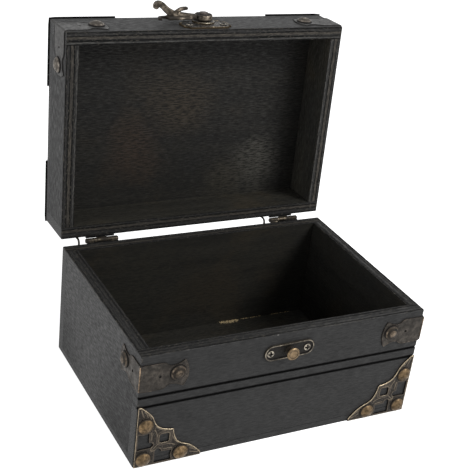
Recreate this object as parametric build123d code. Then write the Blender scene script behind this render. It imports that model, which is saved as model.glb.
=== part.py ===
from build123d import *
import math
import os

# Small wooden treasure chest box, shown with its lid open.
# Origin: centre of the body's underside. +X to the right, +Y to the back, +Z up. Millimetres.
# Every lid piece is drawn with the lid shut and then swung open about the hinge axis.

# Wooden box
width = 200.0
depth = 140.0
body_height = 80.5
lid_height = 32.5
wall = 8.5
panel = 5.0
rim_gap = 0.3  # between the two rims when the lid is shut
edge_radius = 0.8  # rounding of the outer edges of the wood
cut_overrun = 2.0  # how far every cut runs past the face that it leaves

# Two grooves along the front of the body
groove_width = 1.6
groove_depth = 1.2
grooves_below_rim = (36.0, 29.0)

# Lid swing
open_angle = 92.3
hinge_offset = 3.0  # the axis stands this far behind the back faces

# Domed nails
nail_radius = 5.4
nail_rise = 3.0
nail_rim = 0.4
nail_shank_radius = 0.75
nail_shank = 7.0
nail_tip = 1.6
shank_clearance = 0.1  # all shanks in their drilled holes, on the radius
hole_spare = 0.3  # a drilled hole runs this much deeper than its shank
panel_nail_shank = 4.2

# Straps around the front corners of body and lid
strap_thickness = 0.6
strap_bend_radius = 0.5
strap_width = 18.4
strap_leg = 30.8
strap_shoulder = 13.5
strap_neck_at = 17.5
strap_neck_inset = 2.0
strap_tip_at = 28.0
strap_nail_at = 24.0
strap_nail_lift = 1.0  # the nails sit a little above the strap's middle line
strap_pinhole_at = 12.5
strap_pinhole_radius = 0.9
body_straps_below_rim = (15.3, 14.3)  # left and right
body_strap_fold_shift = 2.5  # the fold is off the middle, so the side leg ends this much sooner
lid_strap_above_rim = 11.8
lid_strap_fold_shift = 0.0
strap_tip_slope_share = 0.7

# Pierced corner brackets. Shares are of the leg, u along one edge and v along the other.
bracket_leg = 45.0
bracket_thickness = 0.9
bracket_inset = 0.4
bracket_nail_at = 5.9
bracket_nail_reach = 30.9
bracket_edge_shares = ((0.056, 0.996), (0.142, 0.918), (0.229, 0.811), (0.284, 0.689),
                       (0.344, 0.622), (0.433, 0.578), (0.522, 0.556))
bracket_corner_share = 0.549
window_top_shares = ((0.198, 0.556), (0.120, 0.540), (0.040, 0.556))
window_foot_share = 0.298
window_lobe_shares = ((0.205, 0.303), (0.268, 0.345), (0.205, 0.390))
eye_low_share = 0.356
eye_high_share = 0.500
eye_corner_share = 0.030

# Knob and its plate, on the front of the body
latch_offset = -0.8  # knob and hook pivot stand this far from the middle of the front
knob_below_rim = 12.7
knob_plate_length = 35.0
knob_plate_width = 11.0
knob_plate_thickness = 0.8
knob_plate_border = 1.3
knob_plate_border_rise = 0.4
knob_plate_tilt = 1.5
knob_screw_spacing = 26.0
knob_screw_shift = 0.6  # the pair of screws sits this far left of the knob
knob_foot_radius = 3.3
knob_foot_height = 0.7
knob_neck_radius = 2.0
knob_head_radius = 4.35
knob_head_thickness = 1.6
knob_face_radius = 3.0
knob_face_recess = 0.25
knob_stem_radius = 1.5
knob_stem = 7.0

# Pan-head cross-recessed screws of the knob plate and the latch plate
screw_head_radius = 2.4
screw_head_rise = 0.9
screw_shank_radius = 1.1
screw_shank = 6.5
cross_length = 2.6
cross_width = 0.6
cross_depth = 0.6

# Latch on the front of the lid
pivot_above_rim = 15.2
latch_plate_length = 34.0
latch_plate_width = 16.0
latch_plate_thickness = 1.0
latch_plate_scallop = 3.4
latch_plate_shift = 1.2  # the plate's middle lies left of the pivot
latch_plate_drop = 6.0  # and below it
latch_screw_spacing = 24.5
latch_screw_drop = 2.0  # below the plate's middle
latch_dish_radius = 7.5  # a low round rise on the plate around the pivot
latch_dish_rise = 0.8
latch_boss_radius = 3.2
arm_standoff = 2.8
arm_thickness = 1.5
arm_half_width = 2.1
hub_radius = 5.6
face_gap = 0.1  # between the arm and the faces that hold it
rivet_radius = 1.5
rivet_fit = 0.08
rivet_head_radius = 4.6
rivet_head_rise = 3.4
rivet_tail = 6.0
notch_clearance = 0.4
knob_head_clearance = 0.3
# Plan of the arm past the hub, in shares of the distance from pivot to knob
arm_back_shares = ((0.36, 0.085), (0.50, 0.170), (0.64, 0.262), (0.78, 0.255), (0.90, 0.180),
                   (1.00, 0.152), (1.095, 0.115), (1.145, 0.02), (1.135, -0.090))
arm_lip_share = 0.875
arm_lip_depth_share = 0.090
# Finger tail, in profile: shares of its reach from the pivot and of its rise over the arm.
# The reach itself is a share of the distance from pivot to knob.
tail_reach_share = 1.156
tail_rise = 7.9
tail_width = 2.8
tail_thickness = 4.0
tail_head_clearance = 0.45
tail_line_shares = ((0.46, -0.12), (0.56, -0.04), (0.66, 0.16), (0.78, 0.56), (0.88, 0.88), (0.95, 0.90),
                    (0.975, 0.72))
tail_taper_shares = (0.40, 0.70, 0.95, 1.00, 1.00, 0.95, 0.95)
# Thorn that curls back over the arm towards the rivet, in the same way
thorn_reach_share = 0.652
thorn_rise = 4.6
thorn_width = 2.4
thorn_thickness = 2.1
thorn_line_shares = ((1.04, -0.10), (0.99, 0.26), (0.90, 0.66), (0.74, 0.96), (0.57, 0.98))
thorn_taper_shares = (1.20, 1.10, 0.95, 0.90, 0.75)

# Hinges
hinge_from_side = 28.8
barrel_length = 22.0
knuckle_gap = 0.2
knuckle_radius = 1.7
pin_radius = 0.8
pin_fit = 0.05
pin_head_radius = 1.3
pin_head_thickness = 0.5
leaf_thickness = 0.8
leaf_height = 12.0
joggle_start = 0.35
joggle_drop = 1.6
lug_beyond_barrel = 6.2
lug_width = 1.2
lug_finger = 2.0
stop_gap = 0.1
hinge_screw_spacing = 12.0
hinge_screw_from_axis = 7.6
hinge_screw_head_radius = 1.7
hinge_screw_head_rise = 0.6
hinge_screw_shank_radius = 0.9
hinge_screw_shank = 6.0
hinge_cross_length = 2.0
hinge_cross_width = 0.5
hinge_cross_depth = 0.4

# Worked out from the sizes above
half_width = width / 2
half_depth = depth / 2
lid_rim = body_height + rim_gap
lid_top = lid_rim + lid_height
axis_y = half_depth + hinge_offset
axis_z = body_height + rim_gap / 2
pivot_height = lid_rim + pivot_above_rim
knob_height = body_height - knob_below_rim
knob_distance = pivot_height - knob_height
tail_reach = tail_reach_share * knob_distance
thorn_reach = thorn_reach_share * knob_distance
arm_top = arm_standoff + arm_thickness
third_of_barrel = (barrel_length - knuckle_gap * 2) / 3


def block(x_range, y_range, z_range):
    """A block between pairs of limits."""
    sizes = [high - low for low, high in (x_range, y_range, z_range)]
    middle = [(high + low) / 2 for low, high in (x_range, y_range, z_range)]
    return Pos(*middle) * Box(*sizes)


def rounded(picked):
    """Round the picked edges of a piece like all outer edges of the wood."""
    return fillet(picked, edge_radius)


def mirrored(piece):
    """The same piece on the other side of the box."""
    return mirror(piece, about=Plane.YZ)


def opened(piece):
    """Swing a lid piece from shut to open."""
    return piece.rotate(Axis((0, axis_y, axis_z), (1, 0, 0)), -open_angle)


def group(pieces):
    """Several like pieces in one node."""
    return Compound(children=list(pieces))


# Faces that carry fittings: local X runs along the face and local Z points out of it
def on_front(x, z, off=0.0):
    return Plane(origin=(x, -half_depth - off, z), x_dir=(1, 0, 0), z_dir=(0, -1, 0))


def on_left(y, z, off=0.0):
    return Plane(origin=(-half_width - off, y, z), x_dir=(0, 1, 0), z_dir=(-1, 0, 0))


def on_back(x, z, off=0.0):
    return Plane(origin=(x, half_depth + off, z), x_dir=(-1, 0, 0), z_dir=(0, 1, 0))


def on_top(x, y, off=0.0):
    return Plane(origin=(x, y, lid_top + off), x_dir=(1, 0, 0), z_dir=(0, 0, 1))


# Fasteners, drawn with the underside of the head at the local origin
def turned(points_below, crown):
    """A turned piece: an outline up to the rim of its head, then the head's round crown."""
    rim_point, crown_middle, crown_top = crown
    outline = Polyline(*points_below, rim_point)
    outline += ThreePointArc(rim_point, crown_middle, crown_top)
    outline += Line(crown_top, points_below[0])
    return revolve(Plane.XZ * make_face(outline), Axis.Z)


def crown_of(radius, rim, rise):
    """Rim, middle and top of a round crown on a head."""
    bulge = rise - rim
    ball = (radius ** 2 + bulge ** 2) / (bulge * 2)
    half_turn = math.asin(radius / ball) / 2
    middle = (ball * math.sin(half_turn), rise - ball + ball * math.cos(half_turn))
    return (radius, rim), middle, (0, rise)


def nail(shank):
    """A domed nail with a pointed shank."""
    below = [(0, -shank), (nail_shank_radius, nail_tip - shank), (nail_shank_radius, 0), (nail_radius, 0)]
    return turned(below, crown_of(nail_radius, nail_rim, nail_rise))


def screw(head_radius, head_rise, shank_radius, shank, cross):
    """A pan-head screw with a cross recess."""
    below = [(0, -shank), (shank_radius / 2, -shank), (shank_radius, shank_radius - shank),
             (shank_radius, 0), (head_radius, 0)]
    body = turned(below, crown_of(head_radius, head_rise / 2, head_rise))
    length, thickness, sunk = cross
    middle = Pos(0, 0, head_rise - sunk + cut_overrun / 2)
    for size in ((length, thickness), (thickness, length)):
        body -= middle * Box(*size, cut_overrun)
    return body


def plate_screw():
    cross = (cross_length, cross_width, cross_depth)
    return screw(screw_head_radius, screw_head_rise, screw_shank_radius, screw_shank, cross)


def hinge_screw():
    cross = (hinge_cross_length, hinge_cross_width, hinge_cross_depth)
    return screw(hinge_screw_head_radius, hinge_screw_head_rise, hinge_screw_shank_radius,
                 hinge_screw_shank, cross)


def drill(radius, below):
    """A hole through whatever lies above the local origin and to a depth below it."""
    deep = below + hole_spare
    return Pos(0, 0, (cut_overrun - deep) / 2) * Cylinder(radius + shank_clearance, cut_overrun + deep)


def drilled(piece, sites, radius, below):
    """A piece with one hole at each site."""
    for site in sites:
        piece -= site * drill(radius, below)
    return piece


# Where the fasteners go. Each list is for faces of the shut box.
def strap_front_site(height, side=-1):
    """The nail of a strap's front leg: side is -1 at the left and 1 at the right."""
    return on_front(side * (half_width - strap_nail_at), height + strap_nail_lift, strap_thickness)


def strap_side_site(height, fold_shift, side=-1):
    """The nail of a strap's side leg."""
    along = strap_nail_at - fold_shift - half_depth
    at = (side * (half_width + strap_thickness), along, height + strap_nail_lift)
    return Plane(origin=at, x_dir=(0, 1, 0), z_dir=(side, 0, 0))


def strap_sites(heights, fold_shift):
    """The four nails of the straps at the left and right front corners."""
    left, right = heights
    return [strap_front_site(left), strap_front_site(right, 1),
            strap_side_site(left, fold_shift), strap_side_site(right, fold_shift, 1)]


def bracket_spots():
    """Distances of a bracket's three nails from the two edges of its corner."""
    near, far = bracket_nail_at, bracket_nail_reach
    return ((near, near), (near, far), (far, near))


def front_bracket_sites():
    return [on_front(side * (half_width - u), v, bracket_thickness)
            for side in (-1, 1) for u, v in bracket_spots()]


def lid_bracket_sites():
    return [on_top(side * (half_width - u), end * (half_depth - v), bracket_thickness)
            for side in (-1, 1) for end in (-1, 1) for u, v in bracket_spots()]


def knob_frame(off=0.0):
    """The knob plate's own slightly tilted frame, with the knob at its middle."""
    return on_front(latch_offset, knob_height, off).location * Rot(0, 0, knob_plate_tilt)


def knob_screw_sites():
    seat = knob_frame(knob_plate_thickness)
    return [seat * Pos(side * knob_screw_spacing / 2 - knob_screw_shift, 0, 0) for side in (-1, 1)]


def latch_plate_middle():
    return latch_offset - latch_plate_shift, pivot_height - latch_plate_drop


def latch_screw_sites():
    x, z = latch_plate_middle()
    return [on_front(x + side * latch_screw_spacing / 2, z - latch_screw_drop, latch_plate_thickness)
            for side in (-1, 1)]


def hinge_middles():
    return [side * (half_width - hinge_from_side) for side in (-1, 1)]


def hinge_screw_sites(up):
    """The screws of the leaves below (up = -1) or above (up = 1) the hinge axis."""
    return [on_back(x + side * hinge_screw_spacing / 2, axis_z + up * hinge_screw_from_axis, leaf_thickness)
            for x in hinge_middles() for side in (-1, 1)]


# Wood
def edges_at(piece, top):
    """The piece's highest edges where top is true, otherwise its lowest."""
    return piece.edges().group_by(Axis.Z)[-1 if top else 0]


def front_or_back(z_low, z_high, rim_on_top, end):
    """A long wall with its rim at the top or the bottom; end is -1 at the front and 1 at the back."""
    outer, inner = end * half_depth, end * (half_depth - wall)
    piece = block((-half_width, half_width), sorted((outer, inner)), (z_low, z_high))
    upright = [e for e in piece.edges().filter_by(Axis.Z) if abs(e.center().Y) > half_depth - wall / 2]
    on_rim = [e for e in edges_at(piece, rim_on_top)
              if abs(e.center().X) > half_width - wall or abs(e.center().Y) > half_depth - wall / 4]
    return rounded(upright + on_rim)


def side_wall(z_low, z_high, rim_on_top):
    """The left wall, standing between the two long walls."""
    reach = half_depth - wall
    piece = block((-half_width, wall - half_width), (-reach, reach), (z_low, z_high))
    on_rim = edges_at(piece, rim_on_top).filter_by(Axis.Y).sort_by(Axis.X)[0]
    return rounded([on_rim])


def flat_panel(z_low, z_high, outer_on_top):
    """A full panel under the body or over the lid, rounded around its outer face."""
    piece = block((-half_width, half_width), (-half_depth, half_depth), (z_low, z_high))
    return rounded(piece.edges().filter_by(Axis.Z) + edges_at(piece, outer_on_top))


def body_strap_heights():
    return [body_height - below for below in body_straps_below_rim]


def body_strap_sites():
    return strap_sites(body_strap_heights(), body_strap_fold_shift)


def lid_strap_sites():
    height = lid_rim + lid_strap_above_rim
    return strap_sites((height, height), lid_strap_fold_shift)


def front_wall():
    """The body's front wall, with its two grooves and all its drilled holes."""
    piece = front_or_back(panel, body_height, True, -1)
    for below in grooves_below_rim:
        height = body_height - below
        piece -= block((-half_width - cut_overrun, half_width + cut_overrun),
                       (-half_depth - cut_overrun, groove_depth - half_depth),
                       (height - groove_width / 2, height + groove_width / 2))
    piece = drilled(piece, body_strap_sites()[:2], nail_shank_radius, nail_shank)
    piece = drilled(piece, front_bracket_sites(), nail_shank_radius, nail_shank)
    piece = drilled(piece, knob_screw_sites(), screw_shank_radius, screw_shank)
    return drilled(piece, [on_front(latch_offset, knob_height, knob_plate_thickness)],
                   knob_stem_radius, knob_stem)


def back_wall():
    piece = front_or_back(panel, body_height, True, 1)
    return drilled(piece, hinge_screw_sites(-1), hinge_screw_shank_radius, hinge_screw_shank)


def body_side_walls():
    """The left and right walls of the body, drilled for their straps."""
    plain = side_wall(panel, body_height, True)
    sites = body_strap_sites()
    return (drilled(plain, sites[2:3], nail_shank_radius, nail_shank),
            drilled(mirrored(plain), sites[3:], nail_shank_radius, nail_shank))


def bottom_panel():
    return flat_panel(0, panel, False)


def lid_front_wall():
    """The lid's front wall, drilled for the straps and the latch."""
    piece = front_or_back(lid_rim, lid_top - panel, False, -1)
    piece = drilled(piece, lid_strap_sites()[:2], nail_shank_radius, nail_shank)
    piece = drilled(piece, latch_screw_sites(), screw_shank_radius, screw_shank)
    return drilled(piece, [on_front(latch_offset, pivot_height)], rivet_radius, rivet_tail)


def lid_back_wall():
    piece = front_or_back(lid_rim, lid_top - panel, False, 1)
    return drilled(piece, hinge_screw_sites(1), hinge_screw_shank_radius, hinge_screw_shank)


def lid_left_wall():
    piece = side_wall(lid_rim, lid_top - panel, False)
    return drilled(piece, lid_strap_sites()[2:3], nail_shank_radius, nail_shank)


def lid_top_panel():
    piece = flat_panel(lid_top - panel, lid_top, True)
    return drilled(piece, lid_bracket_sites(), nail_shank_radius, panel_nail_shank)


# Straps
def strap_leg_face(shift):
    """One leg of a strap laid flat: u runs from the corner, v across. The leg is cut short by the shift."""
    half = strap_width / 2
    shoulder, tip = (strap_shoulder - shift, half), (strap_tip_at - shift, half)
    neck = (strap_neck_at - shift, half - strap_neck_inset)
    ogee = Spline(shoulder, neck, tip, tangents=((1, 0), (1, strap_tip_slope_share)))
    start = (-strap_thickness - cut_overrun, half)
    upper = Line(start, shoulder) + ogee
    end = ThreePointArc(tip, (strap_leg - shift, 0), (tip[0], -half))
    lower = mirror(upper, about=Plane.XZ)
    return make_face(upper + end + lower + Line(start, (start[0], -half)))


def strap(height, fold_shift):
    """A metal strap folded around the left front corner."""
    low = height - strap_width / 2
    outside = RectangleRounded(width + strap_thickness * 2, depth + strap_thickness * 2,
                               strap_bend_radius + strap_thickness)
    band = Pos(0, 0, low) * extrude(outside - RectangleRounded(width, depth, strap_bend_radius), strap_width)
    reach = strap_thickness + cut_overrun
    near = reach + strap_bend_radius
    legs = extrude(on_front(-half_width, height, reach) * strap_leg_face(0), -(reach + near))
    legs += extrude(on_left(-half_depth, height, reach) * strap_leg_face(fold_shift), -(reach + near))
    piece = band & legs
    piece = drilled(piece, [strap_front_site(height), strap_side_site(height, fold_shift)],
                    nail_shank_radius, nail_shank)
    for site in (on_front(strap_pinhole_at - half_width, height, strap_thickness),
                 on_left(strap_pinhole_at - fold_shift - half_depth, height, strap_thickness)):
        piece -= site * Cylinder(strap_pinhole_radius, cut_overrun * 2)
    return piece


# Brackets
def at_share(shares):
    """A point of the bracket from its shares of the leg."""
    return tuple(share * bracket_leg for share in shares)


def swapped(points):
    """The same points on the other side of the bracket's diagonal."""
    return [(v, u) for u, v in points]


def bracket_outline():
    """The bracket's outer edge, alike on both sides of its diagonal."""
    inset = bracket_inset
    edge = [at_share(pair) for pair in bracket_edge_shares]
    peak = (bracket_corner_share * bracket_leg,) * 2
    other = swapped(edge)
    sides = Line((inset, inset), (inset, bracket_leg)) + Line((inset, bracket_leg), edge[0])
    sides += Spline(*edge)
    sides += ThreePointArc(edge[-1], peak, other[-1])
    sides += Spline(*other)
    sides += Line(other[0], (bracket_leg, inset)) + Line((bracket_leg, inset), (inset, inset))
    return make_face(sides)


def bracket_window(flip):
    """The long window beside one edge, and its twin beside the other."""
    top = [at_share(pair) for pair in window_top_shares]
    lobe = [at_share(pair) for pair in window_lobe_shares]
    foot = (top[-1][0], window_foot_share * bracket_leg)
    if flip:
        top, lobe, foot = swapped(top), swapped(lobe), foot[::-1]
    sides = ThreePointArc(*top) + Polyline(top[-1], foot, lobe[0]) + ThreePointArc(*lobe)
    return make_face(sides + Line(lobe[-1], top[0]))


def bracket():
    """A pierced corner bracket laid flat, its corner at the local origin."""
    face = bracket_outline() - bracket_window(False) - bracket_window(True)
    span = (eye_high_share - eye_low_share) * bracket_leg
    middle = (eye_high_share + eye_low_share) / 2 * bracket_leg
    face -= Pos(middle, middle) * RectangleRounded(span, span, eye_corner_share * bracket_leg)
    piece = extrude(face, bracket_thickness)
    for u, v in bracket_spots():
        piece -= Pos(u, v, bracket_thickness) * drill(nail_shank_radius, bracket_thickness)
    return piece


def front_bracket():
    return on_front(-half_width, 0) * bracket()


def lid_bracket():
    return on_top(-half_width, -half_depth) * bracket()


# Knob
def knob_plate():
    """A round-ended plate with a raised border."""
    rise = knob_plate_thickness + knob_plate_border_rise
    plate = extrude(SlotOverall(knob_plate_length, knob_plate_width), rise)
    field = SlotOverall(knob_plate_length - knob_plate_border * 2, knob_plate_width - knob_plate_border * 2)
    plate -= Pos(0, 0, knob_plate_thickness) * extrude(field, cut_overrun)
    plate = knob_frame() * plate
    plate = drilled(plate, knob_screw_sites(), screw_shank_radius, screw_shank)
    return drilled(plate, [on_front(latch_offset, knob_height, knob_plate_thickness)],
                   knob_stem_radius, knob_stem)


def knob():
    """A turned knob: stem in the wall, foot on the plate, neck for the hook, broad head."""
    seat = knob_plate_thickness
    under_head = arm_top + knob_head_clearance
    face = under_head + knob_head_thickness
    step = knob_head_thickness / 3
    outline = Polyline(
        (0, seat - knob_stem), (knob_stem_radius, seat - knob_stem), (knob_stem_radius, seat),
        (knob_foot_radius, seat), (knob_foot_radius, seat + knob_foot_height / 2),
        (knob_neck_radius, seat + knob_foot_height), (knob_neck_radius, under_head),
        (knob_head_radius - step, under_head), (knob_head_radius, under_head + step),
        (knob_head_radius, face - step), (knob_head_radius - step, face),
        (knob_face_radius, face), (knob_face_radius - step, face - knob_face_recess),
        (0, face - knob_face_recess), (0, seat - knob_stem))
    return on_front(latch_offset, knob_height) * revolve(Plane.XZ * make_face(outline), Axis.Z)


# Latch
def latch_plate():
    """The latch's base plate with scalloped corners and a boss that the arm turns on."""
    x, z = latch_plate_middle()
    face = Rectangle(latch_plate_length, latch_plate_width)
    for across in (-1, 1):
        for up in (-1, 1):
            corner = Pos(across * latch_plate_length / 2, up * latch_plate_width / 2)
            face -= corner * Circle(latch_plate_scallop)
    plate = on_front(x, z) * extrude(face, latch_plate_thickness)
    pivot = on_front(latch_offset, pivot_height)
    plate += pivot * extrude(Circle(latch_dish_radius), latch_plate_thickness + latch_dish_rise)
    plate += pivot * extrude(Circle(latch_boss_radius), arm_standoff - face_gap)
    plate = drilled(plate, latch_screw_sites(), screw_shank_radius, screw_shank)
    return plate - pivot * Cylinder(rivet_radius + shank_clearance, (arm_standoff + cut_overrun) * 2)


def rivet():
    """The domed rivet that the hook turns on."""
    head = arm_top + face_gap
    crown = crown_of(rivet_head_radius, rivet_head_rise / 4, rivet_head_rise)
    below = [(0, -rivet_tail - head), (rivet_radius, -rivet_tail - head), (rivet_radius, 0),
             (rivet_head_radius, 0)]
    return on_front(latch_offset, pivot_height, head) * turned(below, crown)


def arm_face():
    """Plan of the hook's arm, drawn pointing along local X with its leading side below."""
    back = [(a * knob_distance, b * knob_distance) for a, b in arm_back_shares]
    lip = (arm_lip_share * knob_distance, -arm_lip_depth_share * knob_distance)
    waist = (back[0][0], -arm_half_width)
    outline = Line((0, arm_half_width), back[0]) + Spline(*back, tangents=((1, 0), (-1, -1)))
    outline += Line(back[-1], lip)
    outline += Spline(lip, waist, tangents=((-1, 0), (-1, 0)))
    outline += Line(waist, (0, -arm_half_width)) + Line((0, -arm_half_width), (0, arm_half_width))
    notch = knob_neck_radius + notch_clearance
    mouth = knob_distance / 2
    face = make_face(outline) + Circle(hub_radius)
    face -= Pos(knob_distance, 0) * Circle(notch)
    return face - Pos(knob_distance, -mouth / 2) * Rectangle(notch * 2, mouth)


def thick_line(points, halves):
    """Outline of a tapering strip, with its two sides offset from its middle line."""
    left, right = [], []
    for i, (a, w) in enumerate(points):
        before, after = points[max(i - 1, 0)], points[min(i + 1, len(points) - 1)]
        run = (after[0] - before[0], after[1] - before[1])
        length = math.hypot(*run)
        normal = (-run[1] / length, run[0] / length)
        left.append((a + normal[0] * halves[i], w + normal[1] * halves[i]))
        right.append((a - normal[0] * halves[i], w - normal[1] * halves[i]))
    outline = Spline(*left) + Line(left[-1], right[-1]) + Spline(*right) + Line(right[0], left[0])
    return make_face(outline)


def curl(line_shares, taper_shares, reach, rise, thickness):
    """Profile of a curling finger with a round end: local X runs out from the pivot, Y off the face."""
    points = [(a * reach, arm_top + w * rise) for a, w in line_shares]
    halves = [share * thickness / 2 for share in taper_shares]
    return thick_line(points, halves) + Pos(*points[-1]) * Circle(halves[-1])


def tail():
    """The curled finger tail, standing beside the knob's head when the hook is shut."""
    profile = curl(tail_line_shares, tail_taper_shares, tail_reach, tail_rise, tail_thickness)
    side = knob_head_radius + tail_head_clearance
    return Pos(0, side, 0) * extrude(Plane.XZ * profile, tail_width, dir=(0, 1, 0))


def thorn():
    """The small thorn beside the tail that points back at the rivet."""
    profile = curl(thorn_line_shares, thorn_taper_shares, thorn_reach, thorn_rise, thorn_thickness)
    side = knob_head_radius + tail_head_clearance - thorn_width / 2
    return Pos(0, side, 0) * extrude(Plane.XZ * profile, thorn_width, dir=(0, 1, 0))


def hook():
    """The latch's hook, pointing to the left with its notch facing the body's rim."""
    arm = Pos(0, 0, arm_standoff) * extrude(arm_face(), arm_thickness)
    piece = arm + tail() + thorn()
    piece -= Cylinder(rivet_radius + rivet_fit, (arm_top + cut_overrun) * 2)
    pointing_left = Plane(origin=(latch_offset, -half_depth, pivot_height), x_dir=(-1, 0, 0), z_dir=(0, -1, 0))
    return pointing_left * mirror(piece, about=Plane.XZ)


# Hinges. Sections are drawn around the axis: y to the back, z up.
def leaf_section():
    """The lower leaf in section: flat on the wall, then stepped out to the knuckle."""
    outer, inner = -knuckle_radius, leaf_thickness - knuckle_radius
    wall_side, free_side = -hinge_offset, leaf_thickness - hinge_offset
    bend = joggle_start + leaf_thickness / 2
    points = [(outer, 0), (outer, -joggle_start), (wall_side, -joggle_start - joggle_drop),
              (wall_side, -leaf_height), (free_side, -leaf_height), (free_side, -bend - joggle_drop),
              (inner, -bend), (inner, 0)]
    return make_face(Polyline(*points, close=True))


def along_axis(face, x_low, x_high):
    """A section drawn around the hinge axis, run from one x to another."""
    section = Plane(origin=(x_low, axis_y, axis_z), x_dir=(0, 1, 0), z_dir=(1, 0, 0))
    return extrude(section * face, x_high - x_low)


def barrel_parts(middle):
    """The x limits of a hinge's three knuckles."""
    start = middle - barrel_length / 2
    step = third_of_barrel + knuckle_gap
    return [(start + i * step, start + i * step + third_of_barrel) for i in range(3)]


def leaf(middle, knuckles, x_low, x_high):
    """A lower leaf that carries the given knuckles and is cut away beside the others."""
    piece = along_axis(leaf_section(), x_low, x_high)
    open_height = joggle_start + joggle_drop + leaf_thickness / 2
    reach = hinge_offset + knuckle_radius
    for low, high in barrel_parts(middle):
        if (low, high) in knuckles:
            piece += along_axis(Circle(knuckle_radius), low, high)
    cut = Pos(0, knuckle_radius - open_height / 2) * Rectangle(reach * 2, open_height + knuckle_radius * 2)
    edges = sorted([x_low - cut_overrun] + [x for pair in knuckles for x in pair] + [x_high + cut_overrun])
    for low, high in zip(edges[::2], edges[1::2]):
        piece -= along_axis(cut, low, high)
    return piece - along_axis(Circle(pin_radius + pin_fit), x_low - cut_overrun, x_high + cut_overrun)


def body_leaf(middle):
    """The leaf on the body's back wall, with the two outer knuckles."""
    low, high = middle - barrel_length / 2, middle + barrel_length / 2
    first, _, last = barrel_parts(middle)
    piece = leaf(middle, [first, last], low, high)
    return drilled(piece, hinge_screw_sites(-1), hinge_screw_shank_radius, hinge_screw_shank)


def stop_lug():
    """Section of the lug that curls under the axis and stands on the back wall when the lid is open."""
    outer = hinge_offset - stop_gap
    inner = outer - leaf_thickness
    turn = math.radians(180 + open_angle)
    half = math.radians(180 + open_angle / 2)

    def polar(radius, angle):
        return (radius * math.cos(angle), radius * math.sin(angle))

    def beyond(point):
        return (point[0] - math.sin(turn) * lug_finger, point[1] + math.cos(turn) * lug_finger)

    top = joggle_start + joggle_drop + leaf_thickness * 2
    ends = polar(outer, turn), polar(inner, turn)
    outline = Line((-outer, top), (-outer, 0))
    outline += ThreePointArc((-outer, 0), polar(outer, half), ends[0])
    outline += Polyline(ends[0], beyond(ends[0]), beyond(ends[1]), ends[1])
    outline += ThreePointArc(ends[1], polar(inner, half), (-inner, 0))
    outline += Polyline((-inner, 0), (-inner, top), (-outer, top))
    return make_face(outline)


def lid_leaf(middle):
    """The leaf on the lid's back wall, with the middle knuckle and the stop lug at its left end."""
    barrel_start = middle - barrel_length / 2
    lug_middle = barrel_start - lug_beyond_barrel
    low, high = lug_middle - lug_width / 2, middle + barrel_length / 2
    piece = leaf(middle, barrel_parts(middle)[1:2], low, high)
    piece = mirror(piece, about=Plane(origin=(0, 0, axis_z), z_dir=(0, 0, 1)))
    piece += along_axis(stop_lug(), low, low + lug_width)
    return drilled(piece, hinge_screw_sites(1), hinge_screw_shank_radius, hinge_screw_shank)


def hinge_pin(middle):
    """A pin with a button at each end."""
    low, high = middle - barrel_length / 2 - face_gap, middle + barrel_length / 2 + face_gap
    piece = along_axis(Circle(pin_radius), low, high)
    piece += along_axis(Circle(pin_head_radius), low - pin_head_thickness, low)
    return piece + along_axis(Circle(pin_head_radius), high, high + pin_head_thickness)


def body_nodes():
    """Everything that stands still."""
    left, right = hinge_middles()
    left_bracket = front_bracket()
    left_side, right_side = body_side_walls()
    straps = [strap(height, body_strap_fold_shift) for height in body_strap_heights()]
    return {
        "front_wall": front_wall(),
        "back_wall": back_wall(),
        "left_wall": left_side,
        "right_wall": right_side,
        "bottom_panel": bottom_panel(),
        "body_strap_left": straps[0],
        "body_strap_right": mirrored(straps[1]),
        "body_strap_nails": group(site * nail(nail_shank) for site in body_strap_sites()),
        "front_bracket_left": left_bracket,
        "front_bracket_right": mirrored(left_bracket),
        "front_bracket_nails": group(site * nail(nail_shank) for site in front_bracket_sites()),
        "knob_plate": knob_plate(),
        "knob_plate_screws": group(site * plate_screw() for site in knob_screw_sites()),
        "knob": knob(),
        "hinge_body_leaf_left": body_leaf(left),
        "hinge_body_leaf_right": body_leaf(right),
        "hinge_body_screws": group(site * hinge_screw() for site in hinge_screw_sites(-1)),
        "hinge_pin_left": hinge_pin(left),
        "hinge_pin_right": hinge_pin(right),
    }


def lid_nodes():
    """Everything that swings with the lid, drawn shut."""
    left, right = hinge_middles()
    left_strap = strap(lid_rim + lid_strap_above_rim, lid_strap_fold_shift)
    corner, side = lid_bracket(), lid_left_wall()
    back_corner = mirror(corner, about=Plane.XZ)
    return {
        "lid_front_wall": lid_front_wall(),
        "lid_back_wall": lid_back_wall(),
        "lid_left_wall": side,
        "lid_right_wall": mirrored(side),
        "lid_top_panel": lid_top_panel(),
        "lid_strap_left": left_strap,
        "lid_strap_right": mirrored(left_strap),
        "lid_strap_nails": group(site * nail(nail_shank) for site in lid_strap_sites()),
        "lid_bracket_front_left": corner,
        "lid_bracket_front_right": mirrored(corner),
        "lid_bracket_back_left": back_corner,
        "lid_bracket_back_right": mirrored(back_corner),
        "lid_bracket_nails": group(site * nail(panel_nail_shank) for site in lid_bracket_sites()),
        "latch_base_plate": latch_plate(),
        "latch_base_screws": group(site * plate_screw() for site in latch_screw_sites()),
        "latch_rivet": rivet(),
        "latch_hook": hook(),
        "hinge_lid_leaf_left": lid_leaf(left),
        "hinge_lid_leaf_right": lid_leaf(right),
        "hinge_lid_screws": group(site * hinge_screw() for site in hinge_screw_sites(1)),
    }


def main():
    nodes = body_nodes()
    nodes.update((name, opened(piece)) for name, piece in lid_nodes().items())
    os.makedirs("parts", exist_ok=True)
    for name, piece in nodes.items():
        export_step(piece, f"parts/{name}.step")


main()
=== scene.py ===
import math
from functools import partialmethod

import bmesh
import bpy
import numpy as np
from mathutils import Matrix, Vector, noise

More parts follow.
